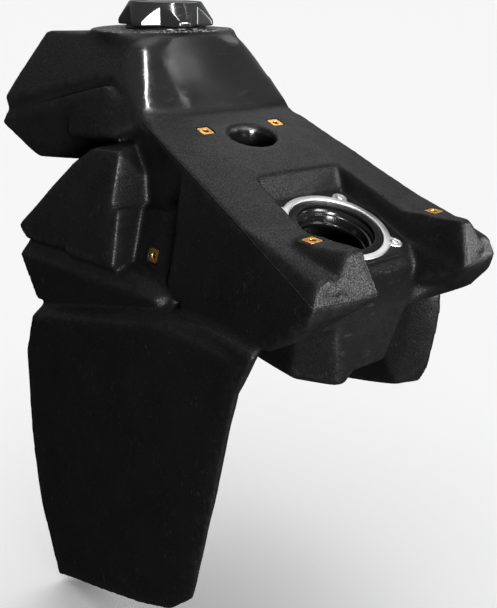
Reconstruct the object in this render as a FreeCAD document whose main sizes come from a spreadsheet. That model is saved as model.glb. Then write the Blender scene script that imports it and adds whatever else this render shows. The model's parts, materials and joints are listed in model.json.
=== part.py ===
"""Moulded off-road motorcycle fuel tank, in millimetres.

The origin is on the filler axis, level with the pad that the filler neck stands on.  +Z is up along
the filler axis, +Y is the bike's forward direction and +X is its right-hand side.
"""
import FreeCAD, Part
import itertools
import math
import os

import Sketcher
from FreeCAD import Placement, Rotation, Vector

EPS = 1e-7
DOWN = Vector(0, 0, -1)
UP = Vector(0, 0, 1)

doc = FreeCAD.newDocument("fuel_tank")

# ---------------------------------------------------------------------------------------------
# Driving dimensions
# ---------------------------------------------------------------------------------------------

DIMENSIONS = {
    # tank shell
    "wall": 5.5,
    "fit_gap": 0.1,
    "boss_radius": 10.0,
    "boss_depth": 17.0,
    "wing_bottom": -538.0,
    "short_wing_bottom": -322.0,
    "panel_top": -83.0,
    "panel_bottom": -187.0,
    "tunnel_half": 42.0,
    "tunnel_roof": -107.0,
    "recess_half": 46.0,
    "well_floor": -227.0,
    "well_foot": 9.0,
    # filler pad and neck
    "pad_radius": 66.0,
    "pad_thick": 3.0,
    "neck_bore": 23.0,
    "neck_outer": 27.6,
    "neck_top": 16.8,
    "neck_bottom": -18.0,
    "neck_flange": 36.0,
    "neck_flange_thick": 3.0,
    "seal_inner": 30.0,
    "seal_outer": 33.2,
    "seal_height": 1.6,
    # filler cap
    "cap_radius": 42.0,
    "cap_top_radius": 31.6,
    "cap_top": 23.4,
    "cap_shoulder": 8.0,
    "cap_skirt": 3.6,
    "cap_underside": 19.2,
    "cap_dish": 22.6,
    "cap_dish_radius": 24.0,
    "cap_bore": 31.2,
    "cap_notch_depth": 33.6,
    "cap_notch_reach": 46.0,
    "cap_notch_half": 40.9,
    "cap_notches": 6,
    "cap_phase": 50.0,
    "gasket_inner": 20.0,
    "gasket_outer": 29.0,
    # screw thread shared by the neck and the cap
    "thread_pitch": 5.0,
    "thread_depth": 2.0,
    "thread_root": 2.4,
    "thread_crest": 1.0,
    "thread_start": 5.5,
    "neck_turns": 1.75,
    "cap_turns": 1.4,
    # vent in the cap
    "vent_radius": 7.0,
    "vent_seat": 20.8,
    "vent_bottom": 10.0,
    "vent_chamber": 3.1,
    "vent_chamber_top": 18.6,
    "vent_chamber_bottom": 12.0,
    "vent_hole": 1.5,
    "vent_ball": 2.5,
    "vent_ball_rest": 14.3,
    # fuel pump opening
    "pump_y": -228.2,
    "pump_z": -126.45,
    "pump_tilt": 18.85,
    "pump_bore": 30.0,
    "pump_lip": 36.3,
    "ring_outer": 42.7,
    "ring_inner": 36.6,
    "ring_thick": 4.0,
    "lug_circle": 45.3,
    "lug_radius": 6.2,
    "lug_web": 12.4,
    "ring_proud": 1.0,
    "rivet_radius": 1.8,
    "rivet_length": 9.0,
    "rivet_head": 3.2,
    "rivet_head_thick": 1.2,
    "pump_step": -8.0,
    "pump_step_bore": 28.2,
    "pump_lower_step": -15.0,
    "pump_lower_bore": 27.0,
    "pump_neck": 52.0,
    "pump_neck_end": -19.0,
    # oval passage for the frame bolt
    "passage_y": -127.0,
    "passage_across": 42.0,
    "passage_along": 37.0,
    # square-headed threaded inserts
    "insert_head": 11.6,
    "insert_head_thick": 2.5,
    "insert_shank": 5.0,
    "insert_length": 13.0,
    "insert_thread": 2.5,
    "insert_corner": 1.5,
}

sheet = doc.addObject("Spreadsheet::Sheet", "Dimensions")
for row, (alias, value) in enumerate(DIMENSIONS.items(), start=1):
    sheet.set("A%d" % row, alias)
    sheet.set("B%d" % row, str(value))
    sheet.setAlias("B%d" % row, alias)
doc.recompute()


def size(alias):
    """Read one driving dimension from the sheet."""
    return float(sheet.get(alias))


# ---------------------------------------------------------------------------------------------
# Faceted blocks: the tank's outside is a union of convex blocks, each given by its corners
# ---------------------------------------------------------------------------------------------


def mirrored(points):
    """The same corners on the other side of the bike."""
    return [Vector(-p.x, p.y, p.z) for p in points]


def both_sides(points):
    """The corners together with their mirror images."""
    return points + mirrored(points)


def hull_planes(points):
    """Each supporting plane of the points, as (outward normal, offset, corners on it)."""
    planes = {}
    for a, b, c in itertools.combinations(points, 3):
        normal = (b - a).cross(c - a)
        if normal.Length < EPS:
            continue
        normal.normalize()
        heights = [(p - a).dot(normal) for p in points]
        if min(heights) > -EPS:
            normal = normal * -1
        elif max(heights) > EPS:
            continue
        corners = tuple(i for i, height in enumerate(heights) if abs(height) < EPS)
        planes[corners] = (normal, a.dot(normal), [points[i] for i in corners])
    return list(planes.values())


def polygon_face(corners, normal):
    """A flat face through corners given in any order."""
    centre = sum(corners, Vector()) * (1.0 / len(corners))
    along = (corners[0] - centre).normalize()
    across = normal.cross(along)

    def bearing(corner):
        arm = corner - centre
        return math.atan2(arm.dot(across), arm.dot(along))

    ring = sorted(corners, key=bearing)
    return Part.Face(Part.makePolygon(ring + ring[:1]))


def convex_block(points):
    """The solid hull of a few corner points."""
    faces = [polygon_face(corners, normal) for normal, offset, corners in hull_planes(points)]
    return Part.makeSolid(Part.makeShell(faces))


def inset_block(points, wall):
    """The hull with every face moved inwards by the wall thickness."""
    planes = [(normal, offset - wall) for normal, offset, corners in hull_planes(points)]
    inner = []
    for (n1, d1), (n2, d2), (n3, d3) in itertools.combinations(planes, 3):
        det = n1.dot(n2.cross(n3))
        if abs(det) < 1e-3:
            continue
        corner = (n2.cross(n3) * d1 + n3.cross(n1) * d2 + n1.cross(n2) * d3) * (1.0 / det)
        inside = all(corner.dot(normal) < offset + 1e-6 for normal, offset in planes)
        if inside and all((corner - other).Length > 1e-4 for other in inner):
            inner.append(corner)
    return convex_block(inner)


# ---------------------------------------------------------------------------------------------
# Corners of the tank's left side (negative x); the right side mirrors all but the wing
# ---------------------------------------------------------------------------------------------

PANEL_TOP = size("panel_top")
PANEL_BOTTOM = size("panel_bottom")
TUNNEL = size("tunnel_half")
ROOF = size("tunnel_roof")
RECESS = size("recess_half")

DECK_FRONT = Vector(-77, -83.5, -64)
DECK_KNEE = Vector(-81, -145, -86)
DECK_WAIST = Vector(-88, -224, -112.3)
DECK_REAR = Vector(-93, -305, -144.5)
CREASE_FRONT = Vector(-36, -90, -62.7)
CREASE_REAR = Vector(-41, -183, -91.8)
SADDLE = Vector(-49, -246, -117.5)
LIP = Vector(-44, -272, -151)
LOBE_TOE = Vector(-44, -316, -143)
LOBE_CROWN = Vector(-50, -303.6, -112.5)
DOME_REAR = Vector(-50, -36, -1)
DOME_FRONT = Vector(-80, 75, -5)
FLANGE_REAR = Vector(-78, -38, -30)
FLANGE_FRONT = Vector(-131, 61, -58)
RIDGE_REAR = Vector(-86, -41, -40)
RIDGE_FRONT = Vector(-134, 66, -80)
PANEL_TIP = Vector(-147, 16, -160)
PANEL_HEEL = Vector(-122.5, -105, -170)
RIB_TIP = Vector(-149, 15, -186)
RIB_HEEL = Vector(-113, -150, -184)
TAIL_HEEL = Vector(-98.5, -268, PANEL_BOTTOM)


def dome_corners():
    """Raised middle part that carries the filler, above the flange on each side."""
    side = [
        DOME_REAR,
        DOME_FRONT,
        FLANGE_REAR,
        FLANGE_FRONT,
        Vector(-70, -38, -42),
        Vector(-128, 61, -69),
        Vector(-60, -38, ROOF),
        Vector(-60, 48, ROOF),
    ]
    return both_sides(side)


def dome_rear_corners():
    """Sloping rear of the dome, down to the deck."""
    side = [
        DOME_REAR,
        FLANGE_REAR,
        DECK_FRONT,
        Vector(-70, -38, -46),
        Vector(-72, -84, ROOF),
        Vector(-60, -20, ROOF),
        Vector(-40, -10, -6),
        Vector(-30, -90, -62.7),
    ]
    return both_sides(side)


def shoulder_corners():
    """Shoulder under the flange, ahead of the side panels."""
    return [
        RIDGE_REAR,
        RIDGE_FRONT,
        Vector(-76, -40, -41),
        Vector(-130, 63, -70),
        Vector(-118, 46, -101),
        Vector(-112, 42, -108),
        Vector(-100, 7, -93),
        Vector(-97, -6, -104),
        Vector(-34, 54, -74),
        Vector(-34, 40, -106),
        Vector(-34, -40, -50),
        Vector(-34, -40, -106),
    ]


def shoulder_step_corners():
    """Facet that stands proud of the shoulder behind its front half."""
    return [
        RIDGE_REAR,
        Vector(-99, -7, -53),
        Vector(-105, -5, -82),
        Vector(-94, -60, -77),
        Vector(-78, -76, -69),
        Vector(-77, -82, -63),
        Vector(-78, -52, -84),
        Vector(-88, -8, -90),
        Vector(-34, -8, -53),
        Vector(-34, -8, -90),
        Vector(-34, -80, -62),
        Vector(-34, -70, -84),
    ]


def upper_pocket_corners():
    """Body behind the upper mounting pocket, the deepest part of the side."""
    return [
        Vector(-77, -83, -66),
        Vector(-79, -150, -88),
        Vector(-78, -148, -160),
        Vector(-78, 10, -112),
        Vector(-78, 6, -160),
        Vector(-78, -40, -80),
        Vector(-TUNNEL, -60, -70),
        Vector(-TUNNEL, -150, -90),
        Vector(-TUNNEL, -148, -160),
        Vector(-TUNNEL, 6, -160),
        Vector(-TUNNEL, 10, ROOF),
        Vector(-TUNNEL, -40, -80),
    ]


def lower_pocket_corners():
    """Body behind the lower mounting pocket, flaring outwards towards its foot."""
    return [
        Vector(-83, -155, -124),
        Vector(-86, -60, -131),
        Vector(-84, 12, -136),
        Vector(-103, -160, -190),
        Vector(-103, 12, -205),
        Vector(-TUNNEL, -155, -118),
        Vector(-TUNNEL, 12, -128),
        Vector(-TUNNEL, -160, -192),
        Vector(-TUNNEL, 12, -205),
    ]


def front_panel_corners():
    """Outermost flat panel, ahead of the mounting pockets."""
    return [
        Vector(-104, -91, PANEL_TOP),
        Vector(-111, -60, -85),
        Vector(-118, -40, -99),
        PANEL_TIP,
        Vector(-146, 6, -170),
        Vector(-113, -92, -121),
        Vector(-121, -92, -168),
        Vector(-128, 12, -176),
        Vector(-60, -62, -80),
        Vector(-60, -92, -125),
        Vector(-60, -30, -95),
        Vector(-60, 14, -125),
        Vector(-60, 12, -187),
        Vector(-60, -84, -187),
    ]


def front_panel_heel_corners():
    """Lower rear part of that panel, which reaches further back below the upper pocket."""
    return [
        Vector(-112.6, -101, -126),
        Vector(-124, -48, -126),
        PANEL_HEEL,
        Vector(-135, -48, -170),
        Vector(-103, -93, -187),
        Vector(-110, -50, -184),
        Vector(-60, -86, -132),
        Vector(-60, -50, -126),
        Vector(-60, -82, -187),
        Vector(-60, -50, -187),
    ]


def rib_corners():
    """Long rib between the front panel and the wing."""
    return [
        RIB_TIP,
        RIB_HEEL,
        Vector(-139, 13, -173),
        Vector(-135, 20, -235),
        Vector(-108, -152, -195),
        Vector(-112, -95, -171),
        Vector(-98, -158, -180),
        Vector(-70, -150, -178),
        Vector(-70, -150, -198),
        Vector(-70, 12, -165),
        Vector(-70, 6, -230),
    ]


def rear_panel_corners():
    """Side panel under the deck's edge, behind the mounting pockets."""
    return [
        DECK_KNEE,
        DECK_WAIST,
        DECK_REAR,
        TAIL_HEEL,
        Vector(-101.5, -170, PANEL_BOTTOM),
        Vector(-101, -151, -174),
        Vector(-TUNNEL, -148, -90),
        Vector(-TUNNEL, -150, PANEL_BOTTOM),
        Vector(-TUNNEL, -268, PANEL_BOTTOM),
        Vector(-TUNNEL, -268, -144),
    ]


def deck_side_corners():
    """Outer strip of the deck beside the oval passage and the pump recess."""
    return [
        CREASE_FRONT,
        CREASE_REAR,
        DECK_FRONT,
        DECK_KNEE,
        DECK_WAIST,
        SADDLE,
        Vector(-90, -248, -121),
        Vector(-36, -84, ROOF),
        Vector(-74, -84, ROOF),
        Vector(-TUNNEL, -150, -126),
        Vector(-78, -150, -126),
        Vector(-48, -246, -150),
        Vector(-86, -246, -150),
    ]


def tail_strip_corners():
    """Low outer strip of the tail, beside the raised lobe."""
    return [
        Vector(-48, -236, -114),
        DECK_WAIST,
        DECK_REAR,
        Vector(-88, -301.7, -132),
        Vector(-78, -302.6, -128),
        Vector(-48, -306, -137),
        Vector(-46, -236, -150),
        Vector(-86, -236, -150),
        LIP,
        Vector(-46, -304, -143),
    ]


def tail_lobe_corners():
    """Raised crown of one tail lobe."""
    return [
        SADDLE,
        LOBE_CROWN,
        LOBE_TOE,
        LIP,
        Vector(-76, -250, -118.5),
        Vector(-60, -301.5, -113.2),
        Vector(-66, -302.2, -119),
        Vector(-77, -306.3, -137.5),
        Vector(-80, -254, -123.5),
        Vector(-46, -240, -140),
        Vector(-66, -240, -140),
    ]


def tail_underside_corners():
    """Lower half of one tail lobe, below the mould's parting line."""
    return [
        LIP,
        LOBE_TOE,
        DECK_REAR,
        TAIL_HEEL,
        Vector(-93, -302, -157),
        Vector(-93, -287, -175),
        Vector(-60, -296, -163),
        Vector(-40, -262, -165),
        Vector(-40, -230, PANEL_BOTTOM),
        Vector(-40, -230, -134),
        Vector(-84, -230, PANEL_BOTTOM),
        Vector(-82, -230, -122),
    ]


def wing_root_corners():
    """Top of the wing, tucked under the rear side panel."""
    return [
        Vector(-106, -264, -190),
        Vector(-108.5, -248, -228),
        Vector(-108, -200, -189),
        Vector(-112, -200, -229),
        Vector(-88, -256, -184),
        Vector(-96, -236, -226),
        Vector(-80, -200, -184),
        Vector(-80, -200, -229),
    ]


WING_TOP = [
    Vector(-145, 10, -246),
    Vector(-149, 21, -284),
    Vector(-113, -146, -194),
    Vector(-120, -172, -197),
    Vector(-108, -200, -189),
    Vector(-84, 8, -222),
    Vector(-84, 8, -196),
    Vector(-64, -190, -184),
]


def long_wing_corners():
    """The left wing, which hangs down beside the engine."""
    low = size("wing_bottom")
    return WING_TOP + [
        Vector(-107.5, -251, -200),
        Vector(-108.7, -248, -229),
        Vector(-150, 26.5, -370),
        Vector(-149, 21, -460),
        Vector(-145, 3, low),
        Vector(-126, -133, low + 51),
        Vector(-119, -176, low + 72),
        Vector(-115.5, -203, low + 100),
        Vector(-90, -238, -198),
        Vector(-95, -232, -229),
        Vector(-102, 18, -400),
        Vector(-110, -3, low + 16),
        Vector(-99, -130, low + 64),
        Vector(-99, -180, low + 106),
    ]


def short_wing_corners():
    """The right wing, in the left side's corners before mirroring."""
    low = size("short_wing_bottom")
    return WING_TOP + [
        Vector(-107, -252, -197),
        Vector(-108, -252, -214),
        Vector(-109.5, -246, low + 55),
        Vector(-111, -237, low + 34),
        Vector(-120, -150, low + 3),
        Vector(-148, 16, low - 6),
        Vector(-92, -236, -193),
        Vector(-93, -222, low + 30),
        Vector(-92, -148, low + 8),
        Vector(-102, 10, low + 4),
    ]


def deck_middle_corners():
    """Middle of the deck, between the two creases and ahead of the pump recess."""
    side = [
        CREASE_FRONT,
        CREASE_REAR,
        Vector(2 - RECESS, -190, -114),
        Vector(-44, -190, -140),
        Vector(-40, -84, ROOF),
        Vector(-40, -80, -66),
        Vector(-62, -100, -80),
        Vector(-62, -170, -105),
        Vector(-62, -100, ROOF),
        Vector(-62, -170, -126),
    ]
    return both_sides(side)


def pump_floor_corners():
    """Floor of the recess that the pump opening is in, with its bevelled rear lip."""
    side = [
        Vector(-68, -185, -111.7),
        Vector(-68, -266, -139.4),
        LIP,
        Vector(-68, -185, PANEL_BOTTOM),
        Vector(-44, -268, PANEL_BOTTOM),
    ]
    return both_sides(side)


def pump_well_corners():
    """Sump that hangs below the pump opening."""
    low = size("well_floor")
    return [
        Vector(-44, -262, -150),
        Vector(36, -262, -150),
        Vector(-44, -192, -150),
        Vector(36, -192, -150),
        Vector(-51, -246, -180),
        Vector(-34, -269, -180),
        Vector(-50, -240, low),
        Vector(-28, -268, low),
        Vector(22, -267, low),
        Vector(30, -268, -198),
        Vector(43, -269, -184),
        Vector(-50, -186, -180),
        Vector(-48, -194, low),
        Vector(20, -194, low),
        Vector(30, -190, -198),
        Vector(41, -186, -184),
    ]


def pump_well_foot_corners():
    """Deeper left half of the sump, where the last of the fuel collects."""
    low = size("well_floor") - size("well_foot")
    return [
        Vector(-50, -240, low + 4),
        Vector(-28, -268, low + 4),
        Vector(-45, -240, low),
        Vector(-28, -264, low),
        Vector(-19, -267, low),
        Vector(-12, -267, low + 8),
        Vector(-48, -192, low + 4),
        Vector(-42, -196, low),
        Vector(-19, -196, low),
        Vector(-12, -194, low + 8),
        Vector(-50, -240, -200),
        Vector(-28, -268, -200),
        Vector(-12, -268, -200),
        Vector(-48, -190, -200),
        Vector(-12, -190, -200),
    ]


def side_blocks():
    """Corner lists of every block that both sides of the tank share."""
    return [
        shoulder_corners(),
        shoulder_step_corners(),
        upper_pocket_corners(),
        lower_pocket_corners(),
        front_panel_corners(),
        front_panel_heel_corners(),
        rib_corners(),
        rear_panel_corners(),
        deck_side_corners(),
        tail_strip_corners(),
        tail_lobe_corners(),
        tail_underside_corners(),
    ]


def tank_blocks():
    """Corner lists of every block of the tank's outside."""
    shared = side_blocks()
    blocks = [dome_corners(), dome_rear_corners(), deck_middle_corners(), pump_floor_corners()]
    blocks += [pump_well_corners(), pump_well_foot_corners()]
    blocks += shared
    blocks += [mirrored(corners) for corners in shared]
    blocks += [wing_root_corners(), long_wing_corners(), mirrored(short_wing_corners())]
    return blocks


# ---------------------------------------------------------------------------------------------
# Places of the fittings
# ---------------------------------------------------------------------------------------------


def fitting_placement(position, outward):
    """A placement whose local +Z points out of the tank."""
    return Placement(position, Rotation(UP, outward))


DECK_NORMAL = Vector(0, -0.3128, 1).normalize()
LEFT = Vector(-1, 0, 0)
LOWER_POCKET_NORMAL = Vector(-1, 0, 0.3).normalize()
INSERTS = {
    "insert_deck": (Vector(-36.4, -111.8, -69.6), DECK_NORMAL),
    "insert_tail": (Vector(-61.7, -268.3, -114.6), UP),
    "insert_upper": (Vector(-78.4, -107, -98.5), LEFT),
    "insert_lower": (Vector(-95, -123, -160), LOWER_POCKET_NORMAL),
}

PUMP_PLACE = Placement(
    Vector(0, size("pump_y"), size("pump_z")),
    Rotation(Vector(1, 0, 0), size("pump_tilt")),
)
LUG_BEARINGS = [45, 135, 225, 315]


def insert_places():
    """Node name and placement of all eight threaded inserts."""
    places = {}
    for name, (position, outward) in INSERTS.items():
        places[name + "_left"] = fitting_placement(position, outward)
        right_position = Vector(-position.x, position.y, position.z)
        right_outward = Vector(-outward.x, outward.y, outward.z)
        places[name + "_right"] = fitting_placement(right_position, right_outward)
    return places


# ---------------------------------------------------------------------------------------------
# Tank shell
# ---------------------------------------------------------------------------------------------


def placed(shape, place):
    """The shape moved from a fitting's own frame into the tank's frame."""
    shape.Placement = place
    return shape


def disc(radius, low, high):
    """An upright cylinder on the filler axis, from one height to another."""
    return Part.makeCylinder(radius, high - low, Vector(0, 0, low))


def steering_wedge(grow):
    """Wedge-shaped room for the frame's steering head, ahead of the filler."""
    side = [
        Vector(44 + grow, 90, -14 + grow),
        Vector(28 + grow, 48 - grow, -14 + grow),
        Vector(44 + grow, 90, -120),
        Vector(28 + grow, 48 - grow, -120),
    ]
    return convex_block(both_sides(side))


def oval_post(grow):
    """Upright oval through the deck for the frame bolt, grown by a wall."""
    across = size("passage_across") / 2 + grow
    along = size("passage_along") / 2 + grow
    oval = Part.Ellipse(Vector(0, 0, 0), across, along)
    face = Part.Face(Part.Wire([oval.toShape()]))
    post = face.extrude(Vector(0, 0, 140))
    post.translate(Vector(-1, size("passage_y"), -190))
    return post


def insert_pocket():
    """Room for one threaded insert, in the insert's own frame."""
    gap = size("fit_gap")
    side = size("insert_head") + 2 * gap
    thick = size("insert_head_thick")
    head = Part.makeBox(side, side, thick + 4, Vector(-side / 2, -side / 2, -thick))
    return head.fuse(disc(size("insert_shank") + gap, -size("insert_length"), 0))


def ring_outline(low, high, grow):
    """The pump ring's outer outline as a prism, in the pump's own frame."""
    outline = disc(size("ring_outer") + grow, low, high)
    web = size("lug_web") + 2 * grow
    for bearing in LUG_BEARINGS:
        lug = disc(size("lug_radius") + grow, low, high)
        lug.translate(Vector(size("lug_circle"), 0, 0))
        arm = Part.makeBox(size("lug_circle"), web, high - low, Vector(0, -web / 2, low))
        lug = lug.fuse(arm)
        lug.rotate(Vector(), UP, bearing)
        outline = outline.fuse(lug)
    return outline


def pump_neck():
    """Moulded neck that hangs below the pump opening, in the pump's own frame."""
    return disc(size("pump_neck"), size("pump_neck_end"), 0)


def pump_cuts():
    """Stepped bore and ring rebate, in the pump's own frame."""
    above = 12.0
    bore = disc(size("pump_bore"), size("pump_step"), above)
    bore = bore.fuse(disc(size("pump_step_bore"), size("pump_lower_step"), 0))
    bore = bore.fuse(disc(size("pump_lower_bore"), size("pump_neck_end") - 1, 0))
    seat = size("ring_proud") - size("ring_thick")
    rebate = ring_outline(seat, above, 3 * size("fit_gap")).cut(disc(size("pump_lip"), seat - 1, 0))
    cuts = bore.fuse(rebate)
    for bearing in LUG_BEARINGS:
        hole = disc(size("rivet_radius") + size("fit_gap"), size("ring_proud") - size("rivet_length"), 0)
        hole.translate(Vector(size("lug_circle"), 0, 0))
        hole.rotate(Vector(), UP, bearing)
        cuts = cuts.fuse(hole)
    return cuts


def fuel_space(blocks):
    """The hollow inside, with the posts and bosses that pass through it left standing."""
    wall = size("wall")
    hollows = [inset_block(corners, wall) for corners in blocks]
    space = hollows[0].multiFuse(hollows[1:])
    standing = [steering_wedge(wall), oval_post(wall), placed(pump_neck(), PUMP_PLACE)]
    for place in insert_places().values():
        boss = Part.makeCylinder(size("boss_radius"), size("boss_depth"), Vector(), DOWN)
        standing.append(placed(boss, place))
    return space.cut(standing)


def build_tank():
    """The hollow moulding with its pad, openings and insert pockets."""
    blocks = tank_blocks()
    solids = [convex_block(corners) for corners in blocks]
    pad = disc(size("pad_radius"), -9, 0)
    pad = pad.common(Part.makeBox(200, 200, 20, Vector(-100, -35, -12)))
    tank = solids[0].multiFuse(solids[1:]).fuse(pad)
    space = fuel_space(blocks)
    cuts = [steering_wedge(0), oval_post(0), placed(pump_cuts(), PUMP_PLACE)]
    cuts.append(disc(size("neck_outer") + size("fit_gap"), -30, 5))
    for place in insert_places().values():
        cuts.append(placed(insert_pocket(), place))
    for cut in [space] + cuts:
        tank = tank.cut(cut)
    return tank, space


nodes = {}


def feature(name, shape):
    """A document feature that holds a finished shape."""
    item = doc.addObject("Part::Feature", name)
    item.Shape = shape
    return item


def register(item, name):
    """Label an object as one of the model's nodes."""
    item.Label = name
    nodes[name] = item
    return item


tank_shape, fuel_shape = build_tank()
register(feature("TankShell", tank_shape), "tank_shell")

# ---------------------------------------------------------------------------------------------
# Turned pieces on the filler axis, each a revolved outline of (radius, height) pairs
# ---------------------------------------------------------------------------------------------


def origin_feature(body, role):
    """One of a body's own origin planes or axes."""
    return next(item for item in body.Origin.OriginFeatures if item.Role == role)


def outline_sketch(body, name, role, corners):
    """A closed outline whose corners are pairs of driving dimensions, each with a sign or zero."""
    sketch = body.newObject("Sketcher::SketchObject", name)
    sketch.AttachmentSupport = (origin_feature(body, role), [""])
    sketch.MapMode = "FlatFace"
    points = [Vector(*(sign * size(alias) for sign, alias in corner), 0) for corner in corners]
    count = len(points)
    for index in range(count):
        sketch.addGeometry(Part.LineSegment(points[index], points[(index + 1) % count]))
    for index in range(count):
        sketch.addConstraint(Sketcher.Constraint("Coincident", index, 2, (index + 1) % count, 1))
    for index, corner in enumerate(corners):
        values = (points[index].x, points[index].y)
        for kind, value, (sign, alias) in zip(("DistanceX", "DistanceY"), values, corner):
            row = sketch.addConstraint(Sketcher.Constraint(kind, -1, 1, index, 1, value))
            if sign:
                sketch.setExpression("Constraints[%d]" % row, "%d * Dimensions.%s" % (sign, alias))
    return sketch


def turned(name, corners):
    """A body revolved about the filler axis from its (radius, height) outline."""
    body = doc.addObject("PartDesign::Body", name)
    pairs = []
    for radius, height in corners:
        pairs.append(((1, radius), (1, height)) if height else ((1, radius), (0, radius)))
    sketch = outline_sketch(body, name + "Outline", "XZ_Plane", pairs)
    turn = body.newObject("PartDesign::Revolution", name + "Turned")
    turn.Profile = sketch
    turn.ReferenceAxis = (sketch, ["V_Axis"])
    turn.Angle = 360
    doc.recompute()
    return body


def screw_thread(root, crest, start, turns):
    """A helical ridge from its root radius to its crest radius."""
    pitch = size("thread_pitch")
    bury = math.copysign(0.4, root - crest)
    half_root = size("thread_root") / 2
    half_crest = size("thread_crest") / 2
    corners = [
        Vector(root + bury, 0, start - half_root),
        Vector(root, 0, start - half_root),
        Vector(crest, 0, start - half_crest),
        Vector(crest, 0, start + half_crest),
        Vector(root, 0, start + half_root),
        Vector(root + bury, 0, start + half_root),
    ]
    profile = Part.makePolygon(corners + corners[:1])
    helix = Part.makeHelix(pitch, pitch * turns, root)
    helix.translate(Vector(0, 0, start))
    return Part.Wire(helix.Edges).makePipeShell([profile], True, True)


def threaded(name, label, body, thread):
    """A turned body joined to its thread."""
    ridge = feature(name + "Thread", thread)
    whole = doc.addObject("Part::Fuse", name)
    whole.Base = body
    whole.Tool = ridge
    doc.recompute()
    return register(whole, label)


neck_body = turned(
    "NeckBlank",
    [
        ("neck_bore", "neck_bottom"),
        ("neck_outer", "neck_bottom"),
        ("neck_outer", None),
        ("seal_inner", None),
        ("seal_inner", "seal_height"),
        ("seal_outer", "seal_height"),
        ("seal_outer", None),
        ("neck_flange", None),
        ("neck_flange", "neck_flange_thick"),
        ("neck_outer", "neck_flange_thick"),
        ("neck_outer", "neck_top"),
        ("neck_bore", "neck_top"),
    ],
)
neck_root = size("neck_outer")
neck_ridge = screw_thread(
    neck_root,
    neck_root + size("thread_depth"),
    size("thread_start") + size("thread_root") / 2,
    size("neck_turns"),
)
threaded("FillerNeck", "filler_neck", neck_body, neck_ridge)

seal_body = turned(
    "NeckSeal",
    [
        ("seal_inner", None),
        ("seal_outer", None),
        ("seal_outer", "seal_height"),
        ("seal_inner", "seal_height"),
    ],
)
register(seal_body, "neck_seal")

gasket_body = turned(
    "CapGasket",
    [
        ("gasket_inner", "neck_top"),
        ("gasket_outer", "neck_top"),
        ("gasket_outer", "cap_underside"),
        ("gasket_inner", "cap_underside"),
    ],
)
register(gasket_body, "cap_gasket")

cap_body = turned(
    "CapBlank",
    [
        ("vent_hole", "cap_dish"),
        ("cap_dish_radius", "cap_dish"),
        ("cap_dish_radius", "cap_top"),
        ("cap_top_radius", "cap_top"),
        ("cap_radius", "cap_shoulder"),
        ("cap_radius", "cap_skirt"),
        ("cap_bore", "cap_skirt"),
        ("cap_bore", "cap_underside"),
        ("vent_radius", "cap_underside"),
        ("vent_radius", "vent_seat"),
        ("vent_hole", "vent_seat"),
    ],
)
notch_sketch = outline_sketch(
    cap_body,
    "NotchOutline",
    "XY_Plane",
    [
        ((1, "cap_notch_depth"), (0, "cap_notch_half")),
        ((1, "cap_notch_reach"), (-1, "cap_notch_half")),
        ((1, "cap_notch_reach"), (1, "cap_notch_half")),
    ],
)
notch = cap_body.newObject("PartDesign::Pocket", "GripNotch")
notch.Profile = notch_sketch
notch.Reversed = True
notch.setExpression("Length", "Dimensions.cap_top + 1")
doc.recompute()
notches = cap_body.newObject("PartDesign::PolarPattern", "GripNotches")
notches.Originals = [notch]
notches.Axis = (origin_feature(cap_body, "Z_Axis"), [""])
notches.Angle = 360
notches.setExpression("Occurrences", "Dimensions.cap_notches")
cap_body.Tip = notches
cap_body.Placement = Placement(Vector(), Rotation(UP, size("cap_phase")))
doc.recompute()
cap_root = size("cap_bore")
cap_ridge = screw_thread(
    cap_root,
    cap_root - size("thread_depth"),
    size("thread_start") + (size("thread_root") + size("thread_pitch")) / 2,
    size("cap_turns"),
)
threaded("FillerCap", "filler_cap", cap_body, cap_ridge)

plug_body = turned(
    "CapVentPlug",
    [
        ("vent_chamber", "vent_bottom"),
        ("vent_radius", "vent_bottom"),
        ("vent_radius", "vent_seat"),
        ("vent_hole", "vent_seat"),
        ("vent_hole", "vent_chamber_top"),
        ("vent_chamber", "vent_chamber_top"),
    ],
)
register(plug_body, "cap_vent_plug")

retainer_body = turned(
    "CapVentRetainer",
    [
        ("vent_hole", "vent_bottom"),
        ("vent_chamber", "vent_bottom"),
        ("vent_chamber", "vent_chamber_bottom"),
        ("vent_hole", "vent_chamber_bottom"),
    ],
)
register(retainer_body, "cap_vent_retainer")

ball = doc.addObject("Part::Sphere", "CapVentBall")
ball.setExpression("Radius", "Dimensions.vent_ball")
ball.setExpression("Placement.Base.z", "Dimensions.vent_ball_rest")
register(ball, "cap_vent_ball")

# ---------------------------------------------------------------------------------------------
# Pump ring, its rivets and the threaded inserts: primitives joined and cut
# ---------------------------------------------------------------------------------------------


def primitive(kind, name, sizes):
    """A Part primitive whose properties are bound to the sheet."""
    item = doc.addObject(kind, name)
    for field, expression in sizes.items():
        item.setExpression(field, expression)
    return item


def combined(kind, name, first, second):
    """A boolean of two objects."""
    item = doc.addObject(kind, name)
    item.Base = first
    item.Tool = second
    return item


def cylinder(name, radius, height, low, x="0", turn=0):
    """A cylinder along local Z, from a height upwards, at a bearing about the axis."""
    item = primitive(
        "Part::Cylinder",
        name,
        {"Radius": radius, "Height": height},
    )
    arm = "(%s) * cos(%d deg)" % (x, turn)
    across = "(%s) * sin(%d deg)" % (x, turn)
    item.setExpression("Placement.Base.x", arm)
    item.setExpression("Placement.Base.y", across)
    item.setExpression("Placement.Base.z", low)
    return item


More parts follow.
